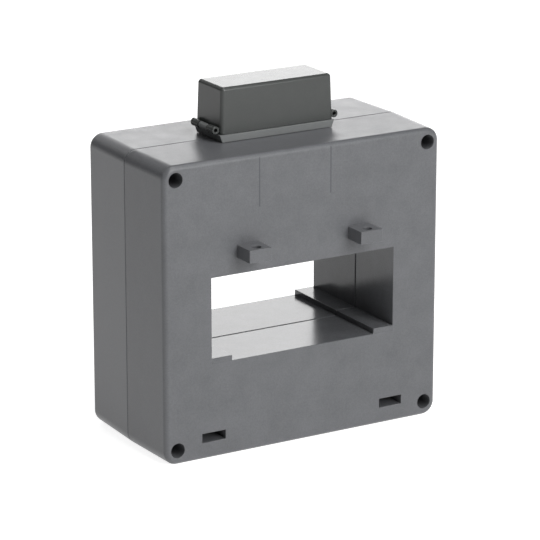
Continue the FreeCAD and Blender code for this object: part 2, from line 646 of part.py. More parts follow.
def terminal_base():
    """Moulded carrier of the terminals: inner flange, waist, plinth, deck and sealing posts."""
    body = new_body("terminal_base")
    middle = BASE_Y

    def block(name, low, high, length, width):
        half = f"({length} / 2)"
        reach = f"({width} / 2)"
        pad(body, name, "XY", low, high, lambda s: draw_box(
            s, f"-{half}", half, f"({middle} - {reach})", f"({middle} + {reach})"))
    roof_in = f"({HEIGHT} - {WALL} - 2 * Sizes.lap_clearance)"
    neck_length = size("neck_length")
    neck_width = size("neck_width")
    margin = size("flange_margin")
    flange_low = f"({roof_in} - Sizes.flange_thickness)"
    block("flange", flange_low, roof_in,
          f"({neck_length} + 2 * {margin})", f"({neck_width} + 2 * {margin})")
    block("waist", f"({roof_in} - {PAST})", f"({HEIGHT} + {PAST})", neck_length, neck_width)

    foot_half = size("(plinth_foot_length / 2)")
    top_half = size("(plinth_top_length / 2)")
    plinth_low = f"({HEIGHT} + Sizes.nest_clearance / 2)"
    reach = size("(cover_width / 2)")
    pad(body, "plinth", "XZ", f"({middle} - {reach})", f"({middle} + {reach})", lambda s: draw_outline(
        s, [(f"-{foot_half}", plinth_low), (foot_half, plinth_low), (top_half, PLINTH_TOP),
            (f"-{top_half}", PLINTH_TOP)]))
    fit = size("2 * (cover_wall + cover_fit)")
    block("deck", f"({PLINTH_TOP} - {PAST})", DECK,
          f"(Sizes.cover_length - {fit})", f"(Sizes.cover_width - {fit})")
    block("barrier", f"({DECK} - {PAST})", f"({DECK} + Sizes.barrier_height)", size("barrier_thickness"),
          f"(Sizes.cover_width - {fit} - 2 * Sizes.barrier_inset)")

    post_reach = size("(knuckle_span / 2 - knuckle_length - knuckle_gap)")
    post_ends = (f"({KNUCKLE_Y} - {post_reach})", f"({KNUCKLE_Y} + {post_reach})")
    radius = size("middle_knuckle_radius")

    def eyelets(sketch):
        for side in ("-", ""):
            draw_circle(sketch, f"{side}{KNUCKLE_X}", KNUCKLE_Z, radius)

    def posts(sketch):
        root = f"({top_half} - {radius} / 2)"
        outer = f"({KNUCKLE_X} + {radius} / 2)"
        for side in ("-", ""):
            draw_outline(sketch, [(f"{side}{root}", f"({PLINTH_TOP} - {radius})"),
                                  (f"{side}{outer}", KNUCKLE_Z),
                                  (f"{side}({KNUCKLE_X} - {radius} / 2)", KNUCKLE_Z)])
    pad(body, "posts", "XZ", *post_ends, posts)
    pad(body, "eyelets", "XZ", *post_ends, eyelets)

    wire_holes(body, post_reach)

    def tail_slots(sketch):
        for side in ("-", ""):
            near, far = tail_sides(side, size("bar_clearance"))
            half = size("(tail_width / 2 + bar_clearance)")
            draw_box(sketch, near, far, f"({middle} - {half})", f"({middle} + {half})")
    pocket(body, "tail_slots", "XY", f"({DECK} + {PAST})", f"({flange_low} - {PAST})", tail_slots)

    def screw_pockets(sketch):
        for side in ("-", ""):
            draw_circle(sketch, f"{side}{TERMINAL_X}", middle,
                        size("(terminal_screw_radius + shank_pocket_gap)"))
    screw_end = f"({CLAMP_TOP} - Sizes.terminal_screw_length - Sizes.shank_pocket_gap)"
    pocket(body, "screw_pockets", "XY", f"({DECK} + {PAST})", screw_end, screw_pockets)
    return body


def tail_sides(side, clearance):
    """Inner and outer side of a solder tail, which hangs from the outer end of its bar."""
    outer = f"({TERMINAL_X} + Sizes.bar_length / 2)"
    near = f"{side}({outer} - Sizes.bar_thickness - {clearance})"
    return near, f"{side}({outer} + {clearance})"


def terminal_bar(label, side):
    """Bent brass bar: a flat bed with a threaded hole, and a tail down through the base."""
    body = new_body(label)
    middle = BASE_Y
    half = size("(bar_width / 2)")
    inner = f"{side}({TERMINAL_X} - Sizes.bar_length / 2)"
    near, outer = tail_sides(side, "0")
    pad(body, "bed", "XZ", f"({middle} - {half})", f"({middle} + {half})",
        lambda s: draw_box(s, inner, outer, DECK, BAR_TOP))
    tail = size("(tail_width / 2)")
    pad(body, "tail", "XZ", f"({middle} - {tail})", f"({middle} + {tail})",
        lambda s: draw_box(s, near, outer, f"({DECK} - Sizes.tail_length)", BAR_TOP))
    pocket(body, "thread", "XY", f"({BAR_TOP} + {PAST})", f"({DECK} - {PAST})", lambda s: draw_circle(
        s, f"{side}{TERMINAL_X}", middle, size("(terminal_screw_radius + thread_clearance)")))
    return body


def clamp_plate(label, side):
    """Square plate that the screw presses on the wire."""
    body = new_body(label)
    half = size("(clamp_size / 2)")
    chamfer = size("(clamp_thickness / 2)")
    pad(body, "plate", "XY", BAR_TOP, CLAMP_TOP,
        lambda s: draw_rounded(s, f"(-{half})", half, f"(-{half})", half, chamfer))
    pocket(body, "hole", "XY", f"({CLAMP_TOP} + {PAST})", f"({BAR_TOP} - {PAST})",
           lambda s: draw_circle(s, "0", "0", size("(terminal_screw_radius + screw_clearance)")))
    body.setExpression("Placement.Base.x", f"{side}{TERMINAL_X}")
    body.setExpression("Placement.Base.y", BASE_Y)
    return body


def terminal_screw(label, side):
    """Terminal screw, upright, its head on the clamping plate."""
    body = new_body(label)
    head = size("terminal_head_radius")
    high = size("terminal_head_height")
    shank = size("terminal_screw_radius")
    length = size("terminal_screw_length")
    chamfer = size("terminal_screw_chamfer")
    turned(body, "turned", "XZ", [
        ("0", high), (f"({head} * {CROWN_SHARE})", high), (head, f"({high} * {RIM_SHARE})"), (head, "0"),
        (shank, "0"), (shank, f"(-{length} + {chamfer})"), (f"({shank} - {chamfer})", f"-{length}"),
        ("0", f"-{length}")])
    drive_recess(body, "XY", f"({high} + {PAST})", f"({high} - Sizes.terminal_recess_depth)", head)
    body.setExpression("Placement.Base.x", f"{side}{TERMINAL_X}")
    body.setExpression("Placement.Base.y", BASE_Y)
    body.setExpression("Placement.Base.z", CLAMP_TOP)
    return body


def lead(label, side):
    """Insulated lead: up from the taped winding, then across to the solder tail."""
    coil_top = f"({CORE_IN_TOP} + Sizes.core_build + {LAYERS})"
    level = f"({DECK} - Sizes.tail_length + Sizes.lead_rise)"
    tail = f"({TERMINAL_X} + Sizes.bar_length / 2)"
    start = number(size("lead_offset"))
    low, high, end = number(coil_top), number(level), number(tail)
    bend = number(size("lead_bend"))
    sign = -1 if side else 1
    depth = number(BASE_Y)
    knee = bend * math.sqrt(0.5)
    path = [V(sign * start, depth, low), V(sign * start, depth, high - bend),
            V(sign * (start - bend + knee), depth, high - bend + knee),
            V(sign * (start - bend), depth, high), V(sign * end, depth, high)]
    wire = Part.Wire([Part.LineSegment(path[0], path[1]).toShape(),
                      Part.Arc(path[1], path[2], path[3]).toShape(),
                      Part.LineSegment(path[3], path[4]).toShape()])
    circle = Part.makeCircle(number(size("lead_radius")), path[0], V(0, 0, 1))
    piece = doc.addObject("Part::Feature", label)
    piece.Label = label
    piece.Shape = wire.makePipeShell([Part.Wire(circle)], True, False)
    return piece


def terminal_cover():
    """Drafted box lid over the terminals, with sealing eyelets and rear wire notches."""
    body = new_body("terminal_cover")
    half, reach = size("(cover_length / 2)"), size("(cover_width / 2)")
    top_half, top_reach = size("(cover_top_length / 2)"), size("(cover_top_width / 2)")
    wall = size("cover_wall")
    middle = BASE_Y
    roof = f"({COVER_TOP} - Sizes.cover_roof)"
    pad(body, "ends", "XZ", f"({middle} - {reach})", f"({middle} + {reach})", lambda s: draw_outline(
        s, [(f"-{half}", COVER_LOW), (half, COVER_LOW),
            (top_half, COVER_TOP), (f"-{top_half}", COVER_TOP)]))

    def long_sides(sketch):
        above = f"({COVER_TOP} + {PAST})"
        for side in ("-", "+"):
            near_top = f"({middle} {side} {top_reach})"
            outside = f"({middle} {side} ({reach} + {PAST}))"
            draw_outline(sketch, [(f"({middle} {side} {reach})", COVER_LOW), (near_top, COVER_TOP),
                                  (near_top, above), (outside, above), (outside, COVER_LOW)])
    pocket(body, "long_sides", "YZ", f"(-{half} - {PAST})", f"({half} + {PAST})", long_sides)
    open_level = number(COVER_LOW)
    finish_edges(body, "Fillet", "outer_edges", size("cover_edge_radius"),
                 lambda edge: not lies_on(edge, 2, open_level))
    def inside(sketch):
        below = f"({COVER_LOW} - {PAST})"
        low_half, high_half = f"({half} - {wall})", f"({top_half} - {wall})"
        draw_outline(sketch, [(f"-{low_half}", below), (low_half, below), (low_half, COVER_LOW),
                              (high_half, roof), (f"-{high_half}", roof), (f"-{low_half}", COVER_LOW)])
    inner_reach = f"({reach} - {wall})"
    pocket(body, "inside", "XZ", f"({middle} - {inner_reach})", f"({middle} + {inner_reach})", inside)

    outer = size("(knuckle_span / 2)")
    inner_end = size("(knuckle_span / 2 - knuckle_length)")
    spans = {"front": (f"({KNUCKLE_Y} - {outer})", f"({KNUCKLE_Y} - {inner_end})"),
             "rear": (f"({KNUCKLE_Y} + {inner_end})", f"({KNUCKLE_Y} + {outer})")}
    barrel = size("knuckle_radius")

    def barrels(sketch):
        for side in ("-", ""):
            draw_circle(sketch, f"{side}{KNUCKLE_X}", KNUCKLE_Z, barrel)

    def webs(sketch):
        for side in ("-", ""):
            draw_box(sketch, f"{side}({half} - {wall} / 2)", f"{side}{KNUCKLE_X}",
                     f"({KNUCKLE_Z} - {barrel} / 2)", f"({KNUCKLE_Z} + {barrel} / 2)")
    for name, (start, end) in spans.items():
        pad(body, f"{name}_web", "XZ", start, end, webs)
        pad(body, f"{name}_eyelet", "XZ", start, end, barrels)

    wire_holes(body, outer)

    notch = size("cable_notch_radius")
    arch = f"({COVER_LOW} + Sizes.cable_notch_height)"

    def notch_sides(sketch):
        for side in ("-", ""):
            draw_box(sketch, f"{side}({TERMINAL_X} - {notch})", f"{side}({TERMINAL_X} + {notch})",
                     f"({COVER_LOW} - {PAST})", arch)

    def notch_arches(sketch):
        for side in ("-", ""):
            draw_circle(sketch, f"{side}{TERMINAL_X}", arch, notch)
    behind = f"({middle} + {reach} + {PAST})"
    within = f"({middle} + {reach} - 2 * {wall})"
    pocket(body, "notch_sides", "XZ", behind, within, notch_sides)
    pocket(body, "notch_arches", "XZ", behind, within, notch_arches)
    return body


def build_pieces():
    """Every piece of the transformer."""
    pieces = [front_shell(), rear_shell()]
    pieces += [housing_screw(name, *place) for name, place in corner_places().items()]
    pieces += [core(), core_cap("core_cap_front", "-1"), core_cap("core_cap_rear", "1")]
    pieces += windings()
    pieces.append(terminal_base())
    for name, side in (("left", "-"), ("right", "")):
        pieces += [terminal_bar(f"terminal_bar_{name}", side), clamp_plate(f"clamp_plate_{name}", side),
                   terminal_screw(f"terminal_screw_{name}", side), lead(f"lead_{name}", side)]
    pieces.append(terminal_cover())
    return pieces


def check(pieces):
    """Stop on a failed feature or a bad solid."""
    doc.recompute()
    for item in doc.Objects:
        if {"Invalid", "Error"} & set(item.State):
            raise RuntimeError(f"{item.Label} failed: {item.State}")
    for piece in pieces:
        shape = piece.Shape
        if shape.isNull() or not shape.isValid() or len(shape.Solids) != 1:
            raise RuntimeError(f"{piece.Label} isn't one valid solid")
        box = shape.BoundBox
        print(f"{piece.Label:26s} {shape.Volume:10.1f} mm3  x {box.XMin:7.2f} {box.XMax:7.2f}"
              f"  y {box.YMin:7.2f} {box.YMax:7.2f}  z {box.ZMin:7.2f} {box.ZMax:7.2f}")


parts = build_pieces()
check(parts)
os.makedirs("parts", exist_ok=True)
for part in parts:
    part.Shape.exportStep(f"parts/{part.Label}.step")
print(len(parts), "pieces")
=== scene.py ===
# %% [markdown]
# # A window-type current transformer
#
# A grey moulded housing of two half shells closes round a wound iron core. A busbar passes
# through the stepped window, and the winding on the core measures its current. Two terminals for
# the measuring wires sit on the roof, under a cover that can be sealed. This lesson dresses the
# measured solids of that part: it lights them, gives every piece a finish made from nodes, and
# builds finer pieces where the solids are plainer than the real thing.

# %% Load the measured part
import math

import bmesh
import bpy
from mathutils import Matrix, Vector


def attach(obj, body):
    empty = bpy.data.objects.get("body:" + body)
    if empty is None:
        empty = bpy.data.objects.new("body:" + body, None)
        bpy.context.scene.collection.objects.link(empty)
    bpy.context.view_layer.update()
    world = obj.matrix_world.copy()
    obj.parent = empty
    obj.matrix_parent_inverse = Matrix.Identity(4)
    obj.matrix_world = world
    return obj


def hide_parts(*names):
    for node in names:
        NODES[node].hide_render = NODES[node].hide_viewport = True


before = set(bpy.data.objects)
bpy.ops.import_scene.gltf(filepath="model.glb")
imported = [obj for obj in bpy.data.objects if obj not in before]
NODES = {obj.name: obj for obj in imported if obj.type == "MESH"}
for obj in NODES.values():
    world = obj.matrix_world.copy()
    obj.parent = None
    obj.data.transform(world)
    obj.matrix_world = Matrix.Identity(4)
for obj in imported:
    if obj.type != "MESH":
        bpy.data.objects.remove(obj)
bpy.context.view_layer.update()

MM = 0.001

# %% [markdown]
# ## The camera
#
# The photograph was taken from a little to the left of the front and slightly above, with a long
# lens, so that upright edges stay nearly parallel. A camera could be moved by hand until its view
# looks right. Here the angles, the distance and the focal length come from fitting the corners
# of the housing, the window and the cover, and the script turns them into a point on a sphere
# round the middle of the part, so each of these numbers can be read and changed by itself.

# %% Place the camera
AZIMUTH, ELEVATION = math.radians(-30.552), math.radians(16.972)
DISTANCE = 1200.9 * MM
LOOK_AT = Vector((2.151, 0.432, 60.681)) * MM
SENSOR_IN_MM, LENS_IN_MM = 36, 205.147
CLIP_START, CLIP_END = 0.05, 20
away = Vector((math.sin(AZIMUTH) * math.cos(ELEVATION),
               -math.cos(AZIMUTH) * math.cos(ELEVATION), math.sin(ELEVATION)))
camera = bpy.data.objects.new("camera", bpy.data.cameras.new("camera"))
camera.data.sensor_width, camera.data.lens = SENSOR_IN_MM, LENS_IN_MM
camera.data.clip_start, camera.data.clip_end = CLIP_START, CLIP_END
camera.location = LOOK_AT + away * DISTANCE
camera.rotation_mode = "QUATERNION"
camera.rotation_quaternion = (-away).to_track_quat("-Z", "Y")
scene = bpy.context.scene
scene.collection.objects.link(camera)
bpy.context.scene.camera = camera
print("camera at", [round(v / MM, 1) for v in camera.location], "mm")

# %% [markdown]
# ## One small function for nodes
#
# A finish is a tree of nodes. Writing one by hand repeats three things: make the node, set its
# sockets and draw its links. One function can do all three, because a socket either gets a value
# or the output of another node. Colours are read from the screen as sRGB hex values, and the
# shader wants linear light, so a second function turns one into the other. Two more begin and
# end every finish, so that what stands between them is only what makes it special.

# %% Helpers for the finishes
def linear(hex_value):
    """An sRGB colour such as "7f8183" as the linear colour with alpha that a socket takes."""
    channels = [int(hex_value[i:i + 2], 16) / 255 for i in (0, 2, 4)]
    return [*(c / 12.92 if c <= 0.04045 else ((c + 0.055) / 1.055) ** 2.4 for c in channels), 1.0]


def add(tree, kind, sockets=None, **settings):
    """Adds one node. A socket has a name or a number, and takes a value or a node's output."""
    node = tree.nodes.new(kind)
    for name, value in settings.items():
        setattr(node, name, value)
    for name, value in (sockets or {}).items():
        if isinstance(value, bpy.types.NodeSocket):
            tree.links.new(value, node.inputs[name])
        else:
            node.inputs[name].default_value = value
    return node


def new_finish(name):
    """An empty material, its tree, and the Object coordinates in metres that patterns read."""
    material = bpy.data.materials.new(name)
    material.use_nodes = True
    material.node_tree.nodes.clear()
    place = add(material.node_tree, "ShaderNodeTexCoord").outputs["Object"]
    return material, material.node_tree, place


def close_finish(material, sockets):
    """Ends a tree with the shader that has those sockets."""
    tree = material.node_tree
    shader = add(tree, "ShaderNodeBsdfPrincipled", sockets)
    add(tree, "ShaderNodeOutputMaterial", {"Surface": shader.outputs["BSDF"]})
    print("finish", material.name, "with", len(tree.nodes), "nodes")
    return material


WHITE = linear("ffffff")
print("white is", WHITE)

# %% [markdown]
# ## Light
#
# The part stood in a bright studio, where each face has its own shade of grey. An even white sky
# would make them all alike, so soft rectangular panels do the work, each for faces of its own.
# The two behind the part are never seen, but their mirror images make the roof, the cover's top
# and the window's floor pale, because plastic reflects strongly at a low angle. The two in front
# light the front and draw thin light lines along its rounded edges. The one at the left shows in
# the rounding between the roof and the left side, and reaches the left of the terminal base. The
# small one close overhead lights the roof and the tops of the lugs. The weak sky fills the rest.

# %% Light the studio
SKY_STRENGTH = 0.02
scene.view_settings.view_transform = "Standard"
scene.view_settings.look = "None"
world = bpy.data.worlds.new("white_tent")
world.use_nodes = True
world.node_tree.nodes.clear()
glow = add(world.node_tree, "ShaderNodeBackground", {"Color": WHITE, "Strength": SKY_STRENGTH})
add(world.node_tree, "ShaderNodeOutputWorld", {"Surface": glow.outputs["Background"]})
scene.world = world


def panel(name, place, aim, width, height, radiance):
    """A soft rectangular light that looks at a point. Places and sizes are in metres."""
    lamp = bpy.data.lights.new(name, "AREA")
    lamp.shape = "RECTANGLE"
    lamp.size, lamp.size_y = width, height
    # The watts spread over the whole face, so a larger panel needs more to look as bright.
    lamp.energy = radiance * math.pi * width * height
    stand = bpy.data.objects.new(name, lamp)
    stand.location = place
    stand.rotation_mode = "QUATERNION"
    stand.rotation_quaternion = (Vector(aim) - Vector(place)).to_track_quat("-Z", "Y")
    scene.collection.objects.link(stand)
    print("panel", name, round(lamp.energy, 1), "W")


panel("backdrop_panel", (0.81, 1.38, 0.45), (0, 0, 0.1), 2.4, 0.7, radiance=3.45)
panel("backdrop_side_panel", (-0.5, 1.4, 0.85), (0, 0, 0.1), 0.9, 0.6, radiance=0.3)
panel("front_panel", (0.3, -1.4, 0.58), (0, 0, 0.06), 0.8, 0.8, radiance=8.3)
panel("high_front_panel", (0.3, -1.2, 1.1), (0, 0, 0.08), 0.7, 0.7, radiance=6.0)
panel("left_panel", (-0.9, 0.3, 1.0), (0, 0, 0.1), 0.9, 0.9, radiance=0.85)
panel("overhead_panel", (0.02, -0.12, 0.5), (0, -0.01, 0.1), 0.25, 0.25, radiance=6.0)

# %% [markdown]
# ## Floor
#
# The part was photographed on a sheet of white acrylic lit from below, which takes the shadow
# away and lights the lowest edges and both sides. A plain white floor could be lit until it burns
# out, but the lamps for that would wash out the part. So the floor is grey to the lamps and
# glows by itself, and it runs on far enough to be the white behind the part too.

# %% Lay the floor
FLOOR_REACH = 12.0
FLOOR_GLOW = 0.84
floor_mesh = bmesh.new()
bmesh.ops.create_grid(floor_mesh, x_segments=1, y_segments=1, size=FLOOR_REACH)
floor_data = bpy.data.meshes.new("studio_floor")
floor_mesh.to_mesh(floor_data)
floor_mesh.free()
floor = bpy.data.objects.new("studio_floor", floor_data)
scene.collection.objects.link(floor)
acrylic = new_finish("lit_white_acrylic")[0]
floor_data.materials.append(close_finish(acrylic, {
    "Base Color": linear("bcbcbc"), "Roughness": 0.7, "Specular IOR Level": 0.2,
    "Emission Color": WHITE, "Emission Strength": FLOOR_GLOW}))

# %% [markdown]
# ## Moulded plastic
#
# Every plastic piece comes out of a steel mould, and they are alike in three ways. Fibres and
# pigment float up in cloudy patches a few millimetres wide, so no grey is quite even. The
# spark-eroded mould leaves a fine even grain, which spreads reflections into a satin sheen. Dark
# and pale flecks lie in that grain. A picture of a surface could show this, but noise that is
# read from the object's own metres has no seams and keeps its real size, so one function makes
# each plastic out of two noises. The real grain is about 0.1 mm, too fine to show here, so it is
# drawn at 0.5 mm or more. Where a mould differs in one place, a mask in the shape of a box says
# where: it compares each coordinate with the middle of the box.

# %% A mask for part of a piece
def inside_box(tree, place, middle, reach):
    """A mask: 1 inside a box, given by its middle and half sizes in millimetres, 0 outside."""
    spot = add(tree, "ShaderNodeSeparateXYZ", {"Vector": place})
    mask = 1.0
    for axis in range(3):
        near = add(tree, "ShaderNodeMath", {
            0: spot.outputs[axis], 1: middle[axis] * MM, 2: reach[axis] * MM}, operation="COMPARE")
        mask = add(tree, "ShaderNodeMath", {0: near.outputs[0], 1: mask},
                   operation="MULTIPLY").outputs[0]
    return mask


# %% A function for moulded plastic
RELIEF_DEPTH = 0.03
# A Mix node has sockets for each kind of value, so its own are told apart by number.
MIX, FLOAT_A, FLOAT_B, COLOUR_A, COLOUR_B = 0, 2, 3, 6, 7
MIXED_FLOAT, MIXED_COLOUR = 0, 2


def moulded_plastic(name, shade, patch_shade, roughness, rough_patch, grain, cloud,
                    relief_share=0.25, flecks=0.04, polish=None, knit_lines_and_grooves=()):
    """Plastic with clouds in its grey and its gloss, and a fine grain. Sizes in millimetres."""
    material, tree, place = new_finish(name)
    # Noise seldom leaves the middle of its range, so gloss and flecks stretch that middle.
    clouds = add(tree, "ShaderNodeTexNoise", {
        "Vector": place, "Scale": 1 / (cloud * MM), "Detail": 5.0, "Roughness": 0.62})
    colour = add(tree, "ShaderNodeMix", {
        MIX: clouds.outputs["Fac"], COLOUR_A: linear(shade), COLOUR_B: linear(patch_shade)},
        data_type="RGBA").outputs[MIXED_COLOUR]
    gloss = add(tree, "ShaderNodeMapRange", {
        "Value": clouds.outputs["Fac"], "From Min": 0.3, "From Max": 0.7,
        "To Min": roughness, "To Max": rough_patch}).outputs["Result"]
    pits = add(tree, "ShaderNodeTexNoise", {
        "Vector": place, "Scale": 1 / (grain * MM), "Detail": 2.0})
    fleck = add(tree, "ShaderNodeMapRange", {
        "Value": pits.outputs["Fac"], "From Min": 0.25, "From Max": 0.75,
        "To Min": 1 - flecks, "To Max": 1 + flecks}).outputs["Result"]
    colour = add(tree, "ShaderNodeVectorMath", {0: colour, "Scale": fleck},
                 operation="SCALE").outputs[0]
    relief = add(tree, "ShaderNodeBump", {
        "Height": pits.outputs["Fac"], "Strength": relief_share,
        "Distance": RELIEF_DEPTH * MM}).outputs["Normal"]
    if polish:
        *box, polished_roughness = polish
        gloss = add(tree, "ShaderNodeMix", {
            MIX: inside_box(tree, place, *box), FLOAT_A: gloss,
            FLOAT_B: polished_roughness}).outputs[MIXED_FLOAT]
    # Each knit line is painted darker, and that grey also paints the shade in its groove.
    for middle, reach, line_shade in knit_lines_and_grooves:
        line = inside_box(tree, place, middle, reach)
        colour = add(tree, "ShaderNodeMix", {
            MIX: line, COLOUR_A: colour, COLOUR_B: linear(line_shade)},
            data_type="RGBA").outputs[MIXED_COLOUR]
    return close_finish(material, {
        "Base Color": colour, "Roughness": gloss, "Normal": relief, "Specular IOR Level": 0.36})


# %% [markdown]
# ## The housing's plastic
#
# Both shells are moulded from glass-filled polycarbonate with a strong grain, which looks satin
# and lightly mottled. The steel cores of the mould that form the window were polished, so that
# the shells slide off them, and its walls mirror the light behind the part. They could be a
# material of their own, but the shells are one piece each, and a box in Object coordinates picks
# the walls out well enough. Over the window, fronts of the melt met and left two faint upright
# knit lines, each in a fine groove. The groove is not modelled. A darker colour paints the line
# together with the shade in its groove, so they are thin boxes too, drawn 0.5 mm wide because the
# real ones would be too fine to show.

# %% Finish for the housing
# Painted shade: this grey stands for the knit lines together with the shade in their fine grooves.
KNIT_LINE_AND_GROOVE_SHADE = "3d3f42"
LEFT_KNIT_LINE_AND_GROOVE = ((-19.6, -28.8, 106.3), (0.24, 1, 9.6), KNIT_LINE_AND_GROOVE_SHADE)
RIGHT_KNIT_LINE_AND_GROOVE = ((11.75, -28.8, 106.8), (0.24, 1, 9.1), KNIT_LINE_AND_GROOVE_SHADE)
POLISHED_WINDOW = ((0, 0, 54.8), (40.6, 60, 17.2), 0.2)
FINISHES = {"housing_plastic": moulded_plastic(
    "moulded_polycarbonate_grain", "494a4c", "5a5b5e", 0.32, 0.4, grain=0.5, cloud=9.0,
    relief_share=0.35, flecks=0.11, polish=POLISHED_WINDOW,
    knit_lines_and_grooves=(LEFT_KNIT_LINE_AND_GROOVE, RIGHT_KNIT_LINE_AND_GROOVE))}

# %% [markdown]
# ## Base, cover and core caps
#
# The terminal base and its cover are of the same plastic out of smoother moulds. The base has
# less grain than the housing. Its grey is painted paler than the housing's, as painted light for
# the light that its front catches under the cover. The cover is the darkest and the smoothest, so
# its top shines when light comes from behind. The two caps that keep the winding off the core
# are natural nylon, warm white and dull, because nobody dyes a piece that stays hidden. They all
# differ only in their values, so the same function makes them.

# %% Finishes for the other plastics
# The base's paler grey is painted light: it stands for light on its front, not for a paler
# plastic.
FINISHES["base_plastic"] = moulded_plastic(
    "moulded_polycarbonate_satin_painted_paler", "5f6161", "656767", 0.285, 0.36, grain=0.5, cloud=9.0)
FINISHES["cover_plastic"] = moulded_plastic(
    "moulded_polycarbonate_smooth", "353736", "3a3c3b", 0.245, 0.27, grain=0.5, cloud=7.0,
    relief_share=0.05)
FINISHES["cap_plastic"] = moulded_plastic(
    "moulded_natural_nylon", "d6d0bf", "dcd7c8", 0.42, 0.5, grain=0.6, cloud=12.0)

# %% [markdown]
# ## Plated metal
#
# The housing screws are zinc-plated steel: slightly dull, and a cloudy bluish grey. The terminals
# are nickel-plated, which is brighter and warmer, on steel plates and screws and on brass bars.
# One plain grey could stand for each, but the pieces knock against each other in the plating
# barrel, and that leaves clouds of a millimetre or two in their shine. So one noise moves the
# colour and the roughness together, and a highlight breaks up where it crosses a cloud.

# %% Finishes for the plated metal
def plated_metal(name, shade, patch_shade, roughness, rough_patch, cloud):
    """Barrel-plated metal with clouds in its shine. The cloud size is in millimetres."""
    material, tree, place = new_finish(name)
    clouds = add(tree, "ShaderNodeTexNoise", {
        "Vector": place, "Scale": 1 / (cloud * MM), "Detail": 4.0})
    colour = add(tree, "ShaderNodeMix", {
        MIX: clouds.outputs["Fac"], COLOUR_A: linear(shade), COLOUR_B: linear(patch_shade)},
        data_type="RGBA")
    dull = add(tree, "ShaderNodeMapRange", {
        "Value": clouds.outputs["Fac"], "To Min": roughness, "To Max": rough_patch})
    return close_finish(material, {
        "Base Color": colour.outputs[MIXED_COLOUR], "Metallic": 1.0,
        "Roughness": dull.outputs["Result"]})


FINISHES["zinc_steel"] = plated_metal(
    "barrel_plated_zinc_steel", "b9bcc0", "a7abb2", 0.26, 0.44, cloud=1.6)
FINISHES["nickel_steel"] = plated_metal(
    "nickel_plated_steel", "c9c3b6", "bdb7aa", 0.16, 0.3, cloud=1.2)
FINISHES["plated_brass"] = plated_metal(
    "nickel_plated_brass", "cfc6b2", "c4b999", 0.2, 0.32, cloud=1.5)

# %% [markdown]
# ## Wire, tape and insulation
#
# The coils are of copper wire under a clear enamel, which keeps the colour of the metal, deepens
# it to a warm brown and leaves it shiny. Polyester film tape, smooth and yellow, is lapped over
# them. The two leads are stiff wires in black vinyl, which is extruded and so comes out satin.
# None needs a pattern of its own: they are made by the two functions above.

# %% Finishes for the winding
FINISHES["copper_winding"] = plated_metal(
    "enamelled_copper_wire", "b5653a", "9e5228", 0.22, 0.34, cloud=2.5)
FINISHES["winding_tape"] = moulded_plastic(
    "polyester_film_tape", "c9b04a", "d2bb58", 0.3, 0.42, grain=0.8, cloud=6.0)
FINISHES["lead_insulation"] = moulded_plastic(
    "extruded_vinyl_insulation", "1d1d1f", "232325", 0.4, 0.5, grain=0.6, cloud=5.0)

# %% [markdown]
# ## The edges of a wound strip
#
# The core is one long strip of silicon steel, 0.35 mm thick, wound round a frame with rounded
# corners. On its sides the edges of the strip show as fine lines that follow the frame. Modelled,
# they would be hundreds of thin faces. But the distance from the frame's straight inner sides is
# the same all along such a line, so a wave in that distance draws them all. Folding the
# coordinates about the middle with Absolute makes one quarter serve for all four.

# %% Finish for the core
GROOVE_DEPTH = 0.05


def wound_strip(name, face_shade, gap_shade, middle, straight, thickness):
    """Strip round a frame, given by its middle and straight half sizes. All in millimetres."""
    material, tree, place = new_finish(name)
    centred = add(tree, "ShaderNodeVectorMath", {0: place, 1: Vector(middle) * MM},
                  operation="SUBTRACT")
    folded = add(tree, "ShaderNodeVectorMath", {0: centred.outputs[0]}, operation="ABSOLUTE")
    past = add(tree, "ShaderNodeVectorMath", {0: folded.outputs[0], 1: Vector(straight) * MM},
               operation="SUBTRACT")
    outward = add(tree, "ShaderNodeVectorMath", {0: past.outputs[0], 1: (0, 0, 0)},
                  operation="MAXIMUM")
    distance = add(tree, "ShaderNodeVectorMath", {0: outward.outputs[0]}, operation="LENGTH")
    wave = add(tree, "ShaderNodeMath", {0: distance.outputs["Value"], 1: thickness / 2 * MM},
               operation="PINGPONG")
    layer = add(tree, "ShaderNodeMapRange", {
        "Value": wave.outputs[0], "From Max": thickness / 4 * MM}).outputs["Result"]
    colour = add(tree, "ShaderNodeMix", {
        MIX: layer, COLOUR_A: linear(gap_shade), COLOUR_B: linear(face_shade)},
        data_type="RGBA")
    relief = add(tree, "ShaderNodeBump", {
        "Height": layer, "Strength": 0.5, "Distance": GROOVE_DEPTH * MM})
    return close_finish(material, {
        "Base Color": colour.outputs[MIXED_COLOUR], "Metallic": 1.0, "Roughness": 0.42,
        "Normal": relief.outputs["Normal"]})


FINISHES["core_steel"] = wound_strip(
    "wound_silicon_steel", "8b8e92", "4f5257", middle=(0, 1, 54.75), straight=(43.5, 100, 21.95),
    thickness=0.35)

# %% [markdown]
# ## A clean copy of a solid
#
# The solids arrive as loose triangles, which is right for measuring and bad for shaping: no edge
# is shared, so nothing can be bevelled. A copy with its doubles merged, and its flat parts
# dissolved back into single faces, is a proper closed mesh. Its outer edges then get the tiny
# round that every moulded or stamped edge has, because a perfectly sharp edge never catches a
# line of light. A Bevel modifier could do that too, but the operator takes just the edges that
# point outwards and leaves the inner corners sharp, as moulds do.

# %% Helpers for pieces
MERGE_DISTANCE = 0.0005 * MM
FLAT_WITHIN = math.radians(0.4)
SHARP_FROM = math.radians(35)


def clean_copy(node):
    """A solid's mesh as a closed bmesh with whole flat faces."""
    form = bmesh.new()
    form.from_mesh(NODES[node].data)
    bmesh.ops.remove_doubles(form, verts=form.verts[:], dist=MERGE_DISTANCE)
    bmesh.ops.dissolve_limit(form, angle_limit=FLAT_WITHIN, verts=form.verts[:],
                             edges=form.edges[:], use_dissolve_boundaries=False, delimit=set())
    return form


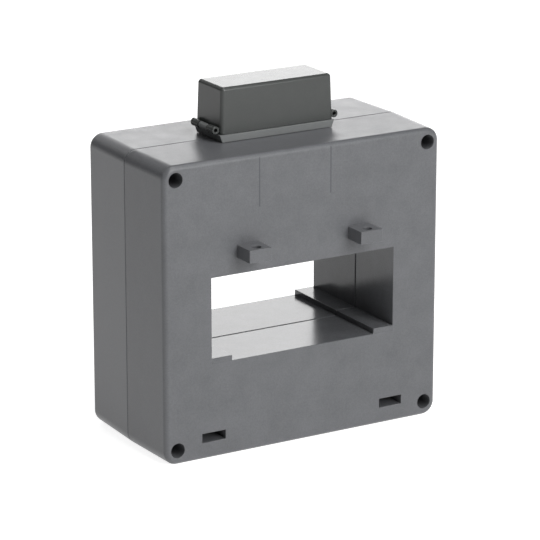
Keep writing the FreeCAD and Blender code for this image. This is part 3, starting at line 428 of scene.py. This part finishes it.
def break_edges(form, width):
    """Rounds the sharp outward edges. The width is in millimetres."""
    edges = [e for e in form.edges if e.is_manifold and e.calc_face_angle_signed() > SHARP_FROM]
    bmesh.ops.bevel(form, geom=edges, offset=width * MM, offset_type="OFFSET", segments=2,
                    profile=0.5, affect="EDGES", material=-1, clamp_overlap=False)


def finish_piece(form, name, body, slot, node, crease=40):
    """Turns a bmesh into a named piece that rides on its body and stands for its solid."""
    data = bpy.data.meshes.new(name)
    form.to_mesh(data)
    form.free()
    data.shade_smooth()
    data.set_sharp_from_angle(angle=math.radians(crease))
    data.materials.append(FINISHES[slot])
    piece = bpy.data.objects.new(name, data)
    scene.collection.objects.link(piece)
    even = piece.modifiers.new("even_shading", "WEIGHTED_NORMAL")
    even.keep_sharp = True
    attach(piece, body)
    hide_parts(node)
    print("piece", name, "with", len(data.polygons), "faces on", body)


# %% [markdown]
# ## Mouldings, stampings and leads
#
# Thirteen solids have the right form already: the shells, the base and its cover, the core and
# its caps, the terminal bars, the clamping plates and the leads. They could be shown as they
# are, but with edges like knives. Each gets a skin instead, a clean copy whose edges are broken
# by as much as the real ones: 0.2 mm on the large mouldings, 0.15 mm on stamped metal and on the
# thin caps, and 0.1 mm on the leads.

# %% Skins of the solids
MOULDED_EDGE, THIN_EDGE, WIRE_EDGE = 0.2, 0.15, 0.1
for node, body, slot, width in (
        ("front_shell", "root", "housing_plastic", MOULDED_EDGE),
        ("rear_shell", "root", "housing_plastic", MOULDED_EDGE),
        ("terminal_base", "root", "base_plastic", MOULDED_EDGE),
        ("terminal_cover", "cover", "cover_plastic", MOULDED_EDGE),
        ("core", "root", "core_steel", THIN_EDGE),
        ("core_cap_front", "root", "cap_plastic", THIN_EDGE),
        ("core_cap_rear", "root", "cap_plastic", THIN_EDGE),
        ("terminal_bar_left", "root", "plated_brass", THIN_EDGE),
        ("terminal_bar_right", "root", "plated_brass", THIN_EDGE),
        ("clamp_plate_left", "clamp_left", "nickel_steel", THIN_EDGE),
        ("clamp_plate_right", "clamp_right", "nickel_steel", THIN_EDGE),
        ("lead_left", "root", "lead_insulation", WIRE_EDGE),
        ("lead_right", "root", "lead_insulation", WIRE_EDGE)):
    form = clean_copy(node)
    break_edges(form, width)
    finish_piece(form, node + "_skin", body, slot, node)

# %% [markdown]
# ## Screws with a real thread
#
# A solid for measuring needs no thread, so the shanks came as plain cylinders. Here each screw
# keeps its head, which a plane cuts off just under the seat. Its shank is a profile spun once
# round the axis. The thread could be a bump in the finish, but its outline would stay straight,
# so it is a small four-sided profile, spun many times round and moved along the axis a little
# with every step. The housing screws form their own thread in plastic, so theirs is coarse and
# sharp. The terminal screws have the fine thread that goes with their joint: 0.7 mm a turn.

# %% A function for threaded screws
CUT_UNDER_SEAT = 0.05
CUT_TOLERANCE = 0.0001
HEAD_EDGE = 0.12
REACH_INTO_HEAD = 0.4
TIP_SHARE = 0.4
SHANK_STEPS, THREAD_STEPS = 32, 24
THREAD_START, THREAD_SUNK, THREAD_RUN_OUT = 0.3, 0.1, 0.6
# Where the crest begins and ends, and where the far flank meets the core, in shares of a pitch.
CREST_BEGIN, CREST_END, FLANK_END = 0.38, 0.46, 0.84


def profile_corners(form, points, seat, along):
    """New corners, each given as its radius and its way along the axis in millimetres."""
    across = along.orthogonal().normalized()
    return [form.verts.new(seat + across * radius * MM + along * level * MM)
            for radius, level in points]


def threaded_screw(node, body, slot, seat, along, core, crest, pitch, length, point):
    """Keeps a screw's head and gives it a threaded shank. Millimetres from under the head."""
    form = clean_copy(node)
    cut = bmesh.ops.bisect_plane(
        form, geom=form.verts[:] + form.edges[:] + form.faces[:], dist=CUT_TOLERANCE * MM,
        plane_co=seat + along * CUT_UNDER_SEAT * MM, plane_no=along, clear_outer=True)
    rim = [part for part in cut["geom_cut"] if isinstance(part, bmesh.types.BMEdge)]
    bmesh.ops.holes_fill(form, edges=rim, sides=0)
    break_edges(form, HEAD_EDGE)
    shank = profile_corners(form, (
        (0, -REACH_INTO_HEAD), (core, -REACH_INTO_HEAD), (core, length - point),
        (core * TIP_SHARE, length), (0, length)), seat, along)
    lines = [form.edges.new(pair) for pair in zip(shank, shank[1:])]
    bmesh.ops.spin(form, geom=shank + lines, cent=seat, axis=along, angle=math.tau,
                   steps=SHANK_STEPS, use_merge=True)
    bmesh.ops.remove_doubles(form, verts=form.verts[:], dist=MERGE_DISTANCE)
    root = core - THREAD_SUNK
    ridge = profile_corners(form, (
        (root, THREAD_START), (crest, THREAD_START + CREST_BEGIN * pitch),
        (crest, THREAD_START + CREST_END * pitch),
        (root, THREAD_START + FLANK_END * pitch)), seat, along)
    turns = math.floor((length - point - THREAD_RUN_OUT) / pitch)
    bmesh.ops.spin(form, geom=[form.faces.new(ridge)], cent=seat, axis=along,
                   dvec=along * pitch * MM / THREAD_STEPS, angle=math.tau * turns,
                   steps=THREAD_STEPS * turns, use_merge=False)
    bmesh.ops.recalc_face_normals(form, faces=form.faces[:])
    finish_piece(form, "threaded_" + node, body, slot, node, crease=30)


# %% Threaded screws
HOUSING_SCREW_SEAT = -6.8
for corner, x, z in (("top_left", -55.5, 111.7), ("top_right", 55.5, 111.7),
                     ("bottom_left", -55.5, 5.7), ("bottom_right", 55.5, 5.7)):
    threaded_screw("housing_screw_" + corner, "root", "zinc_steel",
                   Vector((x, HOUSING_SCREW_SEAT, z)) * MM, Vector((0, 1, 0)),
                   core=1.25, crest=1.72, pitch=1.4, length=20.0, point=2.2)
TERMINAL_SCREW_Y, TERMINAL_SCREW_SEAT = 0.9, 124.9
for side, x in (("left", -11.0), ("right", 11.0)):
    threaded_screw("terminal_screw_" + side, "screw_" + side, "nickel_steel",
                   Vector((x, TERMINAL_SCREW_Y, TERMINAL_SCREW_SEAT)) * MM, Vector((0, 0, -1)),
                   core=1.62, crest=1.98, pitch=0.7, length=10.0, point=0.5)

# %% [markdown]
# ## Turns of wire and laps of tape
#
# Both the coils and their tape came as smooth sleeves. A real coil is a long helix, but inside a
# sleeve of the right size rings look the same and take far fewer faces. The long edges run along
# X, so one subdivision of just those edges cuts the whole sleeve into rings. Every second ring of
# the coil is pushed in, and smooth shading makes round turns of wire out of the zigzag. On the
# tape, every second ring is first slid close to its neighbour and then pushed in, which makes
# the small step where one lap covers the next.

# %% Wound sleeves
LONG_EDGE = 60
LIMB_Y = 1


def wound_sleeve(node, name, slot, limb_z, rings, depth, slide, crease):
    """Cuts a sleeve into rings and sinks every second one. Sizes in millimetres."""
    form = clean_copy(node)
    low = min(v.co.x for v in form.verts)
    long_edges = [e for e in form.edges
                  if abs(e.verts[0].co.x - e.verts[1].co.x) > LONG_EDGE * MM]
    bmesh.ops.subdivide_edges(form, edges=long_edges, cuts=2 * rings - 1, use_grid_fill=True)
    form.normal_update()
    step = (max(v.co.x for v in form.verts) - low) / (2 * rings)
    sunk = [v for v in form.verts if round((v.co.x - low) / step) % 2]
    outside = [v for v in sunk
               if v.normal.dot(v.co - Vector((v.co.x, LIMB_Y * MM, limb_z * MM))) > 0]
    for vert in outside:
        vert.co -= vert.normal * depth * MM
    for vert in sunk:
        vert.co.x -= slide * MM
    print(node, "has", len(long_edges), "long edges and", len(outside), "sunk corners")
    finish_piece(form, name, "root", slot, node, crease)


for limb, limb_z in (("top", 83.2), ("bottom", 26.3)):
    wound_sleeve("coil_" + limb, "wound_coil_" + limb, "copper_winding", limb_z,
                 rings=95, depth=0.18, slide=0, crease=80)
    wound_sleeve("coil_wrap_" + limb, "lapped_tape_" + limb, "winding_tape", limb_z,
                 rings=13, depth=0.25, slide=2.93, crease=25)
